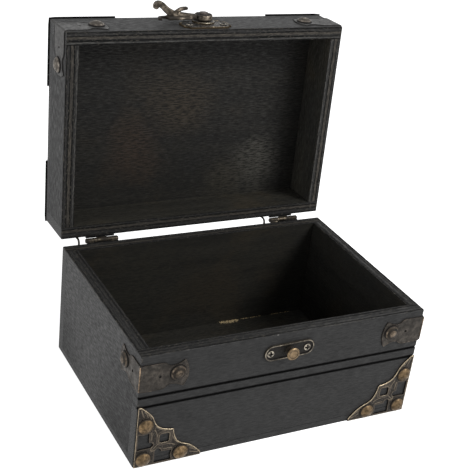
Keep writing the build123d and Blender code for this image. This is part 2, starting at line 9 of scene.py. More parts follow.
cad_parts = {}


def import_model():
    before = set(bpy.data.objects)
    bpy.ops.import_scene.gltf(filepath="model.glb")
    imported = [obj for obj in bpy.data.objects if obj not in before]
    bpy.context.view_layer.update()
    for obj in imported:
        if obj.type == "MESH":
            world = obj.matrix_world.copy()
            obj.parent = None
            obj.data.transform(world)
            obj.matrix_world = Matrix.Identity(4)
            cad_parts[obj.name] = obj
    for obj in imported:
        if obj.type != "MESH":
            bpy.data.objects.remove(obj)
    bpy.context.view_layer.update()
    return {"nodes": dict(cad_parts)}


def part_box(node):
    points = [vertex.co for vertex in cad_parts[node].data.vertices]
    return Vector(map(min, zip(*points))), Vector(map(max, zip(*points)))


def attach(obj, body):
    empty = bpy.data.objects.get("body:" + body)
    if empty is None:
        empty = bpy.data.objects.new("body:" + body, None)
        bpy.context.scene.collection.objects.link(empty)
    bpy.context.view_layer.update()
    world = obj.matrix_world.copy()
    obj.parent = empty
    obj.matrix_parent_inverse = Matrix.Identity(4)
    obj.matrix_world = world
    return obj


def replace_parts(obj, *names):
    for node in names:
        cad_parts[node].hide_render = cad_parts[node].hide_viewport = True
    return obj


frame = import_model()
nodes = frame["nodes"]

# Sizes of the CAD model that the scene repeats, in millimetres
HALF_WIDTH, HALF_DEPTH = 100.0, 70.0
BODY_HEIGHT, LID_RIM, LID_TOP = 80.5, 80.8, 113.3
WALL, PANEL = 8.5, 5.0
BACK_INSIDE, TOP_INSIDE = HALF_DEPTH - WALL, LID_TOP - PANEL
OPEN_ANGLE = math.radians(92.3)
HINGE, HINGE_MIDDLE = Vector((0.0, 73.0, 80.65)), 71.2
BRACKET_TOP, STRAP_TOP = 0.9, 0.6
NAIL_RADIUS, NAIL_RISE, NAIL_RIM = 5.4, 3.0, 0.4
NAIL_NEAR, NAIL_FAR = 5.9, 30.9
STRAP_NAIL_X, BODY_NAIL_Y, LID_NAIL_Y = 76.0, -48.5, -46.0
BODY_NAIL_Z, LID_NAIL_Z = {-1: 66.2, 1: 67.2}, 93.6
KNOB, KNOB_TILT, PIVOT = (-0.8, 67.8), math.radians(1.5), (-0.8, 96.0)

MM = 0.001  # metres in a millimetre
TO_METRES = Matrix.Scale(MM, 4)
OPENED = Matrix.Translation(HINGE) @ Matrix.Rotation(-OPEN_ANGLE, 4, "X") @ Matrix.Translation(-HINGE)
UPRIGHT = Matrix.Identity(4)


def seat(origin, along, outward, swing=UPRIGHT):
    """Frame of a fitting on a face of the shut box, swung open where the face is the lid's."""
    x, z = Vector(along), Vector(outward)
    y = z.cross(x)
    turn = Matrix((x, y, z)).transposed().to_4x4()
    return swing @ Matrix.Translation(Vector(origin)) @ turn


def on_front(x, z, off, swing=UPRIGHT):
    return seat((x, -HALF_DEPTH - off, z), (1, 0, 0), (0, -1, 0), swing)


def on_side(side, y, z, off, swing=UPRIGHT):
    return seat((side * (HALF_WIDTH + off), y, z), (0, -side, 0), (side, 0, 0), swing)


def on_top(x, y, off):
    return seat((x, y, LID_TOP + off), (1, 0, 0), (0, 0, 1), OPENED)


KNOB_FRAME = on_front(*KNOB, 0) @ Matrix.Rotation(KNOB_TILT, 4, "Z")
LID_FRONT = on_front(0, 0, 0, OPENED)
PIVOT_FRAME = on_front(*PIVOT, 0, OPENED)
BACK_FRAME = seat((0, HALF_DEPTH, 0), (-1, 0, 0), (0, 1, 0))
LID_BACK = OPENED @ BACK_FRAME
FRONT_CORNER = on_front(-HALF_WIDTH, 0, 0)


# Materials
class Shader:
    """The nodes of a material or of the world, with short calls for the kinds that they share."""

    def __init__(self, owner):
        self.owner = owner
        owner.use_nodes = True
        self.tree = owner.node_tree
        self.tree.nodes.clear()

    def put(self, socket, value):
        if isinstance(value, bpy.types.NodeSocket):
            self.tree.links.new(value, socket)
        else:
            socket.default_value = (*value, 1.0) if socket.type == "RGBA" else value

    def node(self, kind, inputs=None, **settings):
        made = self.tree.nodes.new("ShaderNode" + kind)
        for name, value in settings.items():
            setattr(made, name, value)
        for key, value in (inputs or {}).items():
            self.put(made.inputs[key], value)
        return made

    def math(self, operation, *values, clamp=False):
        return self.node("Math", dict(enumerate(values)), operation=operation, use_clamp=clamp).outputs[0]

    plus, minus = partialmethod(math, "ADD"), partialmethod(math, "SUBTRACT")
    times, size = partialmethod(math, "MULTIPLY"), partialmethod(math, "ABSOLUTE")
    larger, smaller = partialmethod(math, "MAXIMUM"), partialmethod(math, "MINIMUM")
    under, over = partialmethod(math, "LESS_THAN"), partialmethod(math, "GREATER_THAN")

    def apart(self, first, second):
        return self.size(self.minus(first, second))

    def hypot(self, first, second):
        return self.math("SQRT", self.plus(self.times(first, first), self.times(second, second)))

    def between(self, value, low, high, to_low=0.0, to_high=1.0):
        """A smooth step of a value from low to high."""
        inputs = {"Value": value, "From Min": low, "From Max": high, "To Min": to_low, "To Max": to_high}
        return self.node("MapRange", inputs, interpolation_type="SMOOTHSTEP").outputs[0]

    def mix(self, factor, first, second):
        return self.node("Mix", {0: factor, 6: first, 7: second}, data_type="RGBA").outputs[2]

    def places(self):
        return self.node("TexCoord").outputs["Object"]

    def attribute(self, name):
        return self.node("Attribute", attribute_name=name).outputs["Fac"]

    def axes(self, coords):
        return self.node("SeparateXYZ", {0: coords}).outputs

    def vector(self, operation, first, second, output="Value"):
        return self.node("VectorMath", {0: first, 1: second}, operation=operation).outputs[output]

    def distance(self, coords, place):
        """Distance in metres to a place in millimetres."""
        return self.vector("DISTANCE", coords, Vector(place) * MM)

    def noise(self, coords, scale, detail, rough, distortion=0.0):
        inputs = {"Vector": coords, "Scale": scale, "Detail": detail, "Roughness": rough, "Distortion": distortion}
        return self.node("TexNoise", inputs).outputs["Fac"]

    def bump(self, height, strength, distance):
        return self.node("Bump", {"Height": height, "Strength": strength, "Distance": distance}).outputs[0]

    def finish(self, output, last):
        self.node("Output" + output, {"Surface": last.outputs[0]})
        return self.owner

    def surface(self, **inputs):
        inputs = {key.replace("_", " "): value for key, value in inputs.items()}
        return self.finish("Material", self.node("BsdfPrincipled", inputs))


def shader(name):
    return Shader(bpy.data.materials.new(name))


def grey(level, warmth=0.0):
    return (level * (1 + warmth), level, level * (1 - warmth))


def toned(colour, tone_and_light):
    return tuple(part * tone_and_light for part in colour)


def box_coords(s, lid):
    """Coordinates of the shut box in metres: those of lid pieces are turned back about the hinge."""
    coords = s.places()
    if not lid:
        return coords
    inputs = {"Vector": coords, "Center": HINGE * MM, "Angle": OPEN_ANGLE}
    return s.node("VectorRotate", inputs, rotation_type="X_AXIS").outputs[0]


# Reaches on the wood, in millimetres: past a face and still on it, and the half widths of dark lines
SKIN, RIM_SKIN, GROOVE_HALF, SEAM_HALF = 0.2, 0.3, 1.18, 0.3
WEAR, NICK, NICK_MIDDLE, RUN_END = 0.9, 1.0, 0.4, 0.5
# Patterns along the grain: scale along and across it, detail, roughness and distortion
FIGURE, FIBRE, PORES = (9.0, 110.0, 4.0, 0.6, 0.3), (190.0, 1200.0, 3.0, 0.68), (420.0, 1500.0, 2.0, 0.6)
CHIPS, WOBBLE = (60.0, 260.0, 4.0, 0.75), (16.0, 420.0, 5.0, 0.75)
# The stain where it is thin, inside the box, the wood where it is gone, and lines and marks
DEEP_STAIN, THIN_STAIN = (0.028, 0.0266, 0.0215), (0.054, 0.0505, 0.04)
BROWN_STAIN, COLD_STAIN = (0.085, 0.068, 0.043), (0.032, 0.034, 0.034)
WORN_EDGE, BARE_WOOD, RIM_PORES = (0.11, 0.098, 0.08), (0.42, 0.33, 0.19), (0.11, 0.1, 0.082)
DARK_FIBRE, PALE_FIBRE, DARK_PORES, PALE_PORES = grey(0.006), grey(0.12, 0.04), grey(0.008), grey(0.1, 0.04)
IN_SEAM, IN_GROOVE, IN_NICK = grey(0.003), grey(0.0022), grey(0.22, 0.05)
# Runs of raw wood along the joint of floor and back wall: start, end and greatest width in millimetres
RAW_RUNS = {"wall": ((21.0, 37.0, 1.0), (40.0, 58.0, 0.45), (65.0, 83.0, 0.4)),
            "floor": ((22.0, 38.0, 3.2), (40.0, 57.0, 0.5), (66.0, 82.0, 0.3))}


def wood(name, grain, lid=False, rim=None, tone_and_light=1.0, grooves=(), nick=None, raw=None, outside=1.0,
         rubs_and_light=(), streaks=0.55, dulls=()):
    """Black-stained wood with its grain along one axis and paler worn edges.

    rim is (axis, outer side, bands): pale and dark bands along the rim, by distance from the outside.
    The tone given scales the thinner stain inside, as painted light where it is raised and painted shade where it
    is lowered. raw is "wall" or "floor" where the stain has missed the joint.
    The glows given are places inside, with their reach in millimetres, whose colour is changed: some are stain
    rubbed to another colour, some painted light and some painted shadow.
    streaks scales the strength of the fine lines inside. dulls are places that shine less, with their reach in
    millimetres and the roughness that they add.
    """
    s = shader(name)
    coords = box_coords(s, lid)
    x, y, z = s.axes(coords)

    def grained(run, across, detail, rough, distortion=0.0):
        scales = tuple(run if axis == grain else across for axis in "XYZ")
        return s.noise(s.vector("MULTIPLY", coords, scales, "Vector"), 1.0, detail, rough, distortion)

    figure, fibre, pores = grained(*FIGURE), grained(*FIBRE), grained(*PORES)
    patch = s.noise(coords, 17.0, 4.0, 0.62)
    cloud = s.noise(coords, 70.0, 3.0, 0.6)
    # inside the box the stain is thinner and browner
    to_x = s.minus(HALF_WIDTH * MM, s.size(x))
    to_y = s.minus(HALF_DEPTH * MM, s.size(y))
    depth = s.smaller(to_x, to_y)
    below_panel = s.under(z, (LID_TOP - SKIN) * MM) if lid else s.over(z, SKIN * MM)
    within = s.times(s.over(depth, (WALL - SKIN) * MM), below_panel)
    figured = s.between(figure, 0.32, 0.7)
    inner = s.mix(figured, toned(DEEP_STAIN, tone_and_light), toned(THIN_STAIN, tone_and_light))
    inner = s.mix(s.times(s.between(patch, 0.5, 0.66), 0.5), inner, toned(BROWN_STAIN, tone_and_light))
    inner = s.mix(s.times(s.between(patch, 0.46, 0.34), 0.4), inner, toned(COLD_STAIN, tone_and_light))
    # patches inside: rubbed stain, painted light and painted shadow
    for place, reach, tint in rubs_and_light:
        gap = s.times(s.distance(coords, place), s.between(patch, 0.35, 0.65, 1.35, 0.75))
        share = s.times(s.between(gap, reach * MM, 0.1 * reach * MM), s.between(fibre, 0.4, 0.6, 0.35, 0.95))
        inner = s.mix(share, inner, tint)
    # the stain outside is darker on the faces given a lower outside scale, the front and the lid's left side, as
    # painted shade
    outer = s.mix(figured, grey(0.026 * outside), grey(0.033 * outside))
    outer = s.mix(s.times(s.between(cloud, 0.36, 0.64), 0.5), outer, grey(0.04 * outside))
    colour = s.mix(within, outer, inner)
    # fibres and pores as fine lines: where they start and are full, and their strength, more inside the box
    for lines, start, full, more, least, tint in (
            (fibre, 0.6, 0.36, 0.66 * streaks, 0.16, DARK_FIBRE),
            (fibre, 0.54, 0.72, 0.59 * streaks - 0.09, 0.09, PALE_FIBRE),
            (pores, 0.58, 0.7, 0.44 * streaks - 0.1, 0.1, PALE_PORES),
            (pores, 0.42, 0.3, 0.35, 0.2, DARK_PORES)):
        strength = s.math("MULTIPLY_ADD", within, more, least)
        colour = s.mix(s.between(lines, start, full, 0.0, strength), colour, tint)
    # worn edges, outside and along the inner edge of the rim
    low, high = (LID_RIM, LID_TOP) if lid else (0.0, BODY_HEIGHT)
    to_z = s.smaller(s.minus(z, low * MM), s.minus(high * MM, z))
    from_edge = s.larger(depth, s.smaller(s.larger(to_x, to_y), to_z))
    from_rim = s.apart(z, (low if lid else high) * MM)
    from_lip = s.larger(s.apart(depth, WALL * MM), from_rim)
    reach = s.between(grained(*CHIPS), 0.44, 0.66, 0.0, WEAR * MM)
    worn = s.larger(s.times(s.under(from_edge, reach), 0.32), s.times(s.under(from_lip, reach), 0.35))
    colour = s.mix(worn, colour, WORN_EDGE)
    # seams between the boards
    seam_z = s.apart(z, (TOP_INSIDE if lid else PANEL) * MM)
    seam = s.under(s.smaller(seam_z, s.apart(s.size(y), BACK_INSIDE * MM)), SEAM_HALF * MM)
    colour = s.mix(s.times(seam, 0.7), colour, IN_SEAM)
    # the grooves are near black as painted shade in them
    for middle in grooves:
        colour = s.mix(s.under(s.apart(z, middle * MM), GROOVE_HALF * MM), colour, IN_GROOVE)
    if nick:
        mark = s.between(s.distance(coords, nick), NICK * MM, NICK_MIDDLE * MM, 0.0, 0.7)
        colour = s.mix(mark, colour, IN_NICK)
    if raw:
        widths = [s.times(s.between(x, (start - RUN_END) * MM, (start + RUN_END) * MM),
                          s.between(x, (end + RUN_END) * MM, (end - RUN_END) * MM, 0.0, width * MM))
                  for start, end, width in RAW_RUNS[raw]]
        width = s.plus(widths[0], s.plus(widths[1], widths[2]))
        ragged = s.times(width, s.between(s.noise(coords, 900.0, 4.0, 0.7), 0.4, 0.62))
        from_joint = s.minus(z, PANEL * MM) if raw == "wall" else s.minus(to_y, WALL * MM)
        bare = s.times(s.under(from_joint, ragged), s.times(within, s.over(y, 0.0)))
        colour = s.mix(bare, colour, BARE_WOOD)
    rough = s.between(fibre, 0.36, 0.64, 0.74, 0.41)
    for place, reach, amount in dulls:
        near = s.between(s.distance(coords, place), reach * MM, 0.2 * reach * MM, 0.0, amount)
        rough = s.plus(rough, near, clamp=True)
    if rim:
        axis, side, stops = rim
        across, half = (x, HALF_WIDTH) if axis == "X" else (y, HALF_DEPTH)
        across = s.plus(s.times(across, -side), half * MM)
        wobble = grained(*WOBBLE)
        share = s.plus(s.math("DIVIDE", across, WALL * MM), s.between(wobble, 0.3, 0.7, -0.03, 0.03))
        ramp = s.node("ValToRGB", {"Fac": share})
        elements = ramp.color_ramp.elements
        while len(elements) < len(stops):
            elements.new(0.5)
        for element, (place, tint) in zip(elements, stops):
            element.position, element.color = place, (*tint, 1.0)
        strength = s.times(s.under(from_rim, RIM_SKIN * MM), s.between(wobble, 0.35, 0.55, 0.62, 1.0))
        lined = s.mix(s.between(fibre, 0.4, 0.62, 0.7, 0.0), ramp.outputs[0], DARK_FIBRE)
        lined = s.mix(s.between(pores, 0.55, 0.7, 0.0, 0.5), lined, RIM_PORES)
        colour = s.mix(strength, colour, lined)
        # the dark lines are open grain, so they shine less too
        open_grain = s.times(s.between(ramp.outputs[0], 0.024, 0.008), strength)
        rough = s.plus(rough, s.times(open_grain, 0.5), clamp=True)
    height = s.plus(s.times(figure, 0.4), s.plus(fibre, s.times(pores, 0.6)))
    height = s.minus(height, s.times(seam, 2.0))
    return s.surface(Base_Color=colour, Roughness=rough, Normal=s.bump(height, 0.3, 0.00016),
                     Specular_IOR_Level=0.16)


PATINA = (0.022, 0.018, 0.014)


def metal(name, low, high, patina=PATINA, dirt=0.6, polish=0.32, grain=0.0004, scale=1.0, domed=0.0, dark=None):
    """Aged metal: a mottled colour with dark dirt, fine dents and an uneven polish.

    domed is the share of darkening on the middle of each dome, or, where it is over a half, on a ring round it as
    painted shade of the dome. dark is called with the shader, and gives the share of darkening that its place on
    the piece adds, mostly painted shade.
    """
    s = shader(name)
    coords = s.places()
    mottle = s.noise(coords, 420.0 * scale, 5.0, 0.65)
    cloud = s.noise(coords, 130.0 * scale, 3.0, 0.6)
    amount = s.between(cloud, 0.62, 0.4, 0.0, dirt)
    if domed:
        # the middle of each dome, or a ring round it as painted shade, is darker, and the foot is darkened as a
        # painted contact shadow
        place = s.attribute("rim_share")
        around = s.between(s.apart(place, 0.62), 0.2, 0.1)
        top = s.times(around if domed > 0.5 else s.between(place, 0.52, 0.12),
                      s.between(mottle, 0.3, 0.6, 0.5 * domed, domed))
        amount = s.larger(amount, s.larger(top, s.between(place, 0.84, 0.94)))
    if dark:
        amount = s.larger(amount, dark(s))
    colour = s.mix(amount, s.mix(s.between(mottle, 0.35, 0.65), low, high), patina)
    height = s.plus(s.times(mottle, 1.4), s.noise(coords, 1500.0 * scale, 2.0, 0.6))
    rough = s.plus(s.between(mottle, 0.3, 0.7, polish + 0.14, polish - 0.05), s.times(amount, 0.2))
    return s.surface(Base_Color=colour, Metallic=s.minus(1.0, s.times(amount, 0.8)), Roughness=rough,
                     Normal=s.bump(height, 0.35, grain), Specular_IOR_Level=0.15)


def stippled(name, low, high, outward, edge=grey(0.003), dot_scale=900.0):
    """A punched field: dark bronze with small round dots, and cut edges of another colour, near black by default
    as painted shade.
    """
    s = shader(name)
    outputs = s.node("TexCoord").outputs
    coords = outputs["Object"]
    # the cut sides take the edge colour, near black on the brackets as painted shade
    cut = s.between(s.size(s.vector("DOT_PRODUCT", outputs["Normal"], outward)), 0.8, 0.6)
    dots = s.node("TexVoronoi", {"Vector": coords, "Scale": dot_scale}, feature="F1").outputs["Distance"]
    cloud = s.noise(coords, 300.0, 4.0, 0.65)
    raised = s.between(dots, 0.55, 0.2)
    colour = s.mix(s.times(raised, s.between(cloud, 0.35, 0.65, 0.25, 1.0)), low, high)
    rough = s.plus(s.between(cloud, 0.3, 0.7, 0.58, 0.42), s.times(cut, 0.4))
    return s.surface(Base_Color=s.mix(cut, colour, edge), Metallic=0.75, Roughness=rough,
                     Normal=s.bump(raised, 0.6, 0.00012), Specular_IOR_Level=0.3)


def in_frame(s, matrix):
    """Coordinates of a fitting's own frame, in millimetres."""
    coords = s.places()
    back = (TO_METRES @ matrix).inverted()
    return [s.plus(s.vector("DOT_PRODUCT", coords, tuple(row[:3])), row[3]) for row in back[:3]]


# Places on a piece that are darker, in millimetres of its frame
def plate_field(s):
    """Dark inside the raised border of the knob's plate."""
    x, y, _ = in_frame(s, KNOB_FRAME)
    from_middle = s.hypot(s.larger(s.minus(s.size(x), 12.0), 0.0), y)
    return s.larger(s.between(from_middle, 4.85, 4.65), s.between(from_middle, 5.15, 5.4, 0.0, 0.9))


def recess(matrix, floor_height, sites=()):
    """Dark below a height over the plate, and in and round the cross recesses at sites, as painted shade."""
    def dark(s):
        x, y, z = in_frame(s, matrix)
        amount = s.between(z, floor_height + 0.12, floor_height - 0.05)
        for across, up in sites:
            dx, dy = s.minus(x, across), s.minus(y, up)
            along, aside = s.size(dx), s.size(dy)
            slim = s.between(s.smaller(along, aside), 0.8, 0.55)
            arm = s.times(slim, s.between(s.larger(along, aside), 2.0, 1.75))
            reach = s.hypot(dx, dy)
            edge = s.times(s.between(reach, 2.15, 2.45), s.between(reach, 3.5, 3.3))
            amount = s.larger(amount, s.larger(arm, edge))
        return amount
    return dark


def rivet_shade(s):
    """Dark under the rivet's collar and in the groove round its dome."""
    x, y, z = in_frame(s, PIVOT_FRAME)
    groove = s.between(s.apart(s.hypot(x, y), 3.85), 0.5, 0.2)
    return s.larger(groove, s.between(z, 6.2, 5.8))


def knob_shade(s):
    """Dark foot and neck, and a dark ring round the flat face of the knob."""
    x, y, z = in_frame(s, KNOB_FRAME)
    ring_share = s.times(s.between(s.apart(s.hypot(x, y), 2.85), 0.45, 0.1), s.between(z, 5.6, 6.0, 0.0, 0.7))
    return s.larger(ring_share, s.between(z, 4.6, 4.0, 0.0, 0.95))


def to_the_right(s):
    """Duller on the right half of the box, as painted shade."""
    return s.between(s.axes(s.places())[0], 0.0, HALF_WIDTH / 2 * MM, 0.0, 0.34)


def on_the_side(s):
    """Duller on the leg of a strap, or the nail, that is on the box's side, as painted shade."""
    return s.between(s.size(s.axes(s.places())[0]), (HALF_WIDTH - SKIN) * MM, (HALF_WIDTH + SKIN) * MM, 0.0, 0.5)


def stop_lug(s):
    """Black where the lid's stop lug stands beside the hinge barrel, as painted shade."""
    from_barrel = s.apart(s.size(s.axes(s.places())[0]), HINGE_MIDDLE * MM)
    return s.between(from_barrel, 11.4 * MM, 12.2 * MM)


def raised_metal(name, low, high):
    """Raised work of the brackets: the outer bead is bright, partly worn and partly a painted highlight, and the
    inner lines stay dark.
    """
    s = shader(name)
    mottle = s.noise(s.places(), 500.0, 4.0, 0.65)
    amount = s.times(s.attribute("shine"), s.between(mottle, 0.32, 0.58, 0.45, 1.0))
    return s.surface(Base_Color=s.mix(amount, low, high), Metallic=0.85,
                     Roughness=s.between(mottle, 0.3, 0.7, 0.5, 0.34), Normal=s.bump(mottle, 0.3, 0.0002))


DARK, DIM, GREY = grey(0.004), grey(0.014), grey(0.027, 0.03)
WORN, PALE = (0.066, 0.058, 0.048), (0.075, 0.074, 0.07)


def bands(*runs):
    """Colour stops for runs of start, end and colour."""
    return [stop for start, end, colour in runs for stop in ((start, colour), (end, colour))]


LONG_BANDS = bands((0.0, 0.1, DARK), (0.14, 0.27, GREY), (0.31, 0.37, DARK), (0.41, 0.56, WORN),
                   (0.6, 0.64, DIM), (0.67, 0.77, DARK), (0.81, 0.87, PALE), (0.92, 1.0, DARK))
SIDE_BANDS = bands((0.0, 0.07, DARK), (0.11, 0.25, GREY), (0.29, 0.36, DARK), (0.4, 0.57, WORN),
                   (0.61, 0.69, DARK), (0.73, 0.83, GREY), (0.86, 0.92, PALE), (0.95, 1.0, DARK))
FAINT_BANDS = bands((0.0, 0.04, GREY), (0.08, 0.14, DARK), (0.2, 0.38, GREY), (0.42, 0.47, DIM),
                   (0.52, 0.66, GREY), (0.74, 0.84, DARK), (0.88, 0.94, GREY), (0.98, 1.0, DARK))
BODY_BANDS = bands((0.0, 0.05, GREY), (0.09, 0.17, DARK), (0.22, 0.4, GREY), (0.44, 0.5, DARK),
                   (0.55, 0.7, WORN), (0.75, 0.83, DARK), (0.87, 0.94, GREY), (0.98, 1.0, DARK))
RIGHT_BANDS = bands((0.0, 0.24, DARK), (0.29, 0.35, GREY), (0.39, 0.44, DARK), (0.49, 0.66, GREY),
                    (0.71, 0.78, DIM), (0.84, 1.0, DARK))

# Painted light and shade on the boards inside: the thinner stain is paler on the back wall, the floor and the
# lid's back wall as painted light, and darker on both right walls as painted shade
woods = {
    "front_wall": wood("wood_front", "X", rim=("Y", -1, FAINT_BANDS), grooves=(44.5, 51.5),
                       nick=(-10.4, -HALF_DEPTH, 80.4), outside=0.86),
    # the back wall's patches inside are painted light
    "back_wall": wood("wood_back", "X", rim=("Y", 1, BODY_BANDS), tone_and_light=1.4, raw="wall", rubs_and_light=(
        ((-38.0, BACK_INSIDE, 52.0), 46.0, (0.072, 0.068, 0.052)),
        ((10.0, BACK_INSIDE, 30.0), 26.0, (0.08, 0.066, 0.045)))),
    "left_wall": wood("wood_left", "Y", rim=("X", -1, FAINT_BANDS), dulls=(
        ((-HALF_WIDTH, -HALF_DEPTH, 0.0), 85.0, 0.24), ((-HALF_WIDTH, HALF_DEPTH, 0.0), 60.0, 0.18))),
    "right_wall": wood("wood_right", "Y", rim=("X", 1, RIGHT_BANDS), tone_and_light=0.22, streaks=0.2),
    "bottom_panel": wood("wood_bottom", "X", tone_and_light=1.6, raw="floor", streaks=0.7),
    "lid_front_wall": wood("wood_lid_front", "X", True, ("Y", -1, LONG_BANDS)),
    "lid_back_wall": wood("wood_lid_back", "X", True, ("Y", 1, BODY_BANDS), tone_and_light=2.2),
    "lid_left_wall": wood("wood_lid_left", "Y", True, ("X", -1, SIDE_BANDS), outside=0.72,
                          dulls=(((-HALF_WIDTH, 0.0, 97.0), 400.0, 0.07),)),
    "lid_right_wall": wood("wood_lid_right", "Y", True, ("X", 1, SIDE_BANDS), tone_and_light=0.66, streaks=0.5),
    # of these patches the two darkest are painted shadow, the others stain rubbed to another colour
    "lid_top_panel": wood("wood_lid_top", "X", True, streaks=1.0, rubs_and_light=(
        ((-72.0, -36.0, TOP_INSIDE), 46.0, (0.022, 0.022, 0.018)),
        ((64.0, -52.0, TOP_INSIDE), 34.0, (0.024, 0.024, 0.02)),
        ((-6.0, -9.0, TOP_INSIDE), 38.0, (0.13, 0.1, 0.064)),
        ((-40.0, 22.0, TOP_INSIDE), 34.0, (0.12, 0.078, 0.05)),
        ((57.0, 37.0, TOP_INSIDE), 32.0, (0.22, 0.21, 0.176)),
        ((32.0, 46.0, TOP_INSIDE), 26.0, (0.11, 0.098, 0.07)))),
}
brass = metal("brass_aged", (0.085, 0.066, 0.044), (0.3, 0.235, 0.15))
nail_brass = metal("brass_nails", (0.08, 0.054, 0.027), (0.225, 0.152, 0.082), dirt=0.45, polish=0.38, domed=0.35,
                   dark=to_the_right)
nail_dark = metal("brass_nails_dark", (0.05, 0.04, 0.031), (0.2, 0.155, 0.112), grey(0.006, 0.1), dirt=0.7,
                  polish=0.36, domed=1.0, dark=on_the_side)
nail_lid = metal("brass_nails_lid", (0.085, 0.074, 0.064), (0.33, 0.29, 0.245), grey(0.008, 0.1), polish=0.36,
                 domed=0.8, dark=on_the_side)
lid_strap_metal = metal("bronze_lid_straps", (0.068, 0.067, 0.066), (0.1, 0.098, 0.096), (0.036, 0.035, 0.034),
                        dirt=0.35, polish=0.46, grain=0.0001, dark=on_the_side)
# the strap's fold is bright as wear and as a painted highlight
worn_highlight_brass = metal("brass_worn_highlit_fold", (0.13, 0.095, 0.065), (0.42, 0.3, 0.2))
# black for the tubes along the lid brackets' edges: a painted shadow line
black_edge = metal("bronze_painted_shadow_lines", grey(0.002), grey(0.004), grey(0.001), dirt=0.9, polish=0.7)
dull_edge = metal("bronze_dull_edges", (0.045, 0.038, 0.032), (0.125, 0.1, 0.078), dirt=0.9)
latch_edge = metal("brass_latch_edge", (0.03, 0.024, 0.017), (0.36, 0.29, 0.19), dirt=0.95, scale=2.0)
# near black for the lid straps' rolled edges and the hinge leaves' edges along the barrel: painted shade
dark_edge = metal("bronze_dark_edges", grey(0.008), grey(0.02), grey(0.005), polish=0.6)
bronze = metal("bronze_dark", (0.036, 0.032, 0.028), (0.066, 0.058, 0.05), (0.022, 0.02, 0.018), dirt=0.5,
               polish=0.44, grain=0.00015)
FIELD = ((0.022, 0.019, 0.016), (0.072, 0.06, 0.048))
front_field = stippled("bronze_stippled_front", *FIELD, (0.0, -1.0, 0.0))
latch_field = stippled("bronze_stippled_latch", (0.011, 0.0105, 0.01), (0.22, 0.2, 0.172),
                       (OPENED.to_3x3() @ Vector((0, -1, 0)))[:], (0.06, 0.043, 0.024), 680.0)
lid_field = stippled("bronze_stippled_lid", *FIELD, (OPENED.to_3x3() @ Vector((0, 0, 1)))[:])
relief_bronze = raised_metal("bronze_relief", (0.06, 0.049, 0.038), (0.42, 0.34, 0.235))
plate_brass = metal("brass_knob_plate", (0.15, 0.125, 0.092), (0.4, 0.35, 0.275), grey(0.01, 0.12), dirt=0.75,
                    dark=plate_field)
knob_brass = metal("brass_knob", (0.145, 0.1, 0.058), (0.25, 0.18, 0.106), grey(0.01, 0.15), dirt=0.3,
                   grain=0.0002, dark=knob_shade)
# the hook's darkening from its points is painted shade, its edges left bright as a painted highlight
hook_brass = metal("brass_hook", (0.07, 0.058, 0.045), (0.42, 0.355, 0.28), dirt=0.9,
                   dark=lambda s: s.attribute("painted_shade"))
rivet_brass = metal("brass_rivet", (0.07, 0.058, 0.052), (0.2, 0.165, 0.148), grey(0.005), dark=rivet_shade)
border_brass = metal("brass_latch_border", (0.1, 0.085, 0.065), (0.45, 0.4, 0.31), dirt=0.7)
hinge_brass = metal("brass_hinges", (0.018, 0.016, 0.013), (0.08, 0.066, 0.048), dirt=0.95, polish=0.4,
                    dark=stop_lug)
STEEL = ((0.22, 0.195, 0.155), (0.55, 0.49, 0.4), (0.012, 0.011, 0.01))
screws = {
    f"{group}_screws": metal(f"steel_{short}_screws", *STEEL, dirt=dirt, polish=0.25, dark=recess(*places))
    for group, short, dirt, places in (
        ("knob_plate", "knob", 0.3, (KNOB_FRAME, 1.25, ((-13.6, 0.0), (12.4, 0.0)))),
        ("latch_base", "latch", 0.4, (LID_FRONT, 1.45, ((-14.25, 88.0), (10.25, 88.0)))),
        ("hinge_body", "body", 0.5, (BACK_FRAME, 1.05)),
        ("hinge_lid", "lid", 0.5, (LID_BACK, 1.05)))
}
by_name = {**woods, **screws, "knob_plate": plate_brass, "knob": knob_brass, "latch_base_plate": latch_field}
by_part = (("hinge", hinge_brass), ("lid_bracket", lid_field), ("bracket", front_field),
           ("lid_strap", lid_strap_metal), ("strap", bronze), ("", brass))
for node_name in nodes:
    worn_by = nodes[node_name].data.materials
    worn_by.clear()
    worn_by.append(by_name.get(node_name) or next(material for part, material in by_part if part in node_name))


# New pieces
def linked(name, data):
    """A new object in the scene."""
    made = bpy.data.objects.new(name, data)
    bpy.context.scene.collection.objects.link(made)
    return made


def mesh_of(name, vertices, faces, material):
    mesh = bpy.data.meshes.new(name)
    mesh.from_pydata(vertices, [], faces)
    mesh.materials.append(material)
    return mesh


def piece(name, vertices, faces, body, slot, material, smooth=True):
    """A mesh object in metres that rides on a body."""
    mesh = mesh_of(name, vertices, faces, material)
    if smooth:
        mesh.shade_smooth()
    made = linked(name, mesh)
    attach(made, body)
    return made


def keep_values(mesh, name, values):
    """One value for each point of a mesh, for its material to read."""
    mesh.attributes.new(name, "FLOAT", "POINT").data.foreach_set("value", values)


def placed(vertices, faces, matrix):
    """Vertices in millimetres taken through a frame to metres, with faces turned out where it mirrors."""
    whole = TO_METRES @ matrix
    moved = [whole @ Vector(v) for v in vertices]
    if matrix.to_3x3().determinant() < 0:
        faces = [tuple(reversed(f)) for f in faces]
    return moved, faces


def joined(parts):
    """One list of vertices and faces from several."""
    vertices, faces = [], []
    for part_vertices, part_faces in parts:
        start = len(vertices)
        vertices += part_vertices
        faces += [tuple(i + start for i in face) for face in part_faces]
    return vertices, faces


def circle(radius, height, around):
    """Points about Z."""
    turns = (2 * math.pi * k / around for k in range(around))
    return [(radius * math.cos(turn), radius * math.sin(turn), height) for turn in turns]


def skin(rows, around, looped=False):
    """Faces between rows of points, each row a closed ring; the last row joins the first where looped."""
    faces = []
    for i in range(rows if looped else rows - 1):
        on = ((i + 1) % rows - i) * around
        for k in range(around):
            a, b = i * around + k, i * around + (k + 1) % around
            faces.append((a, b, b + on, a + on))
    return faces


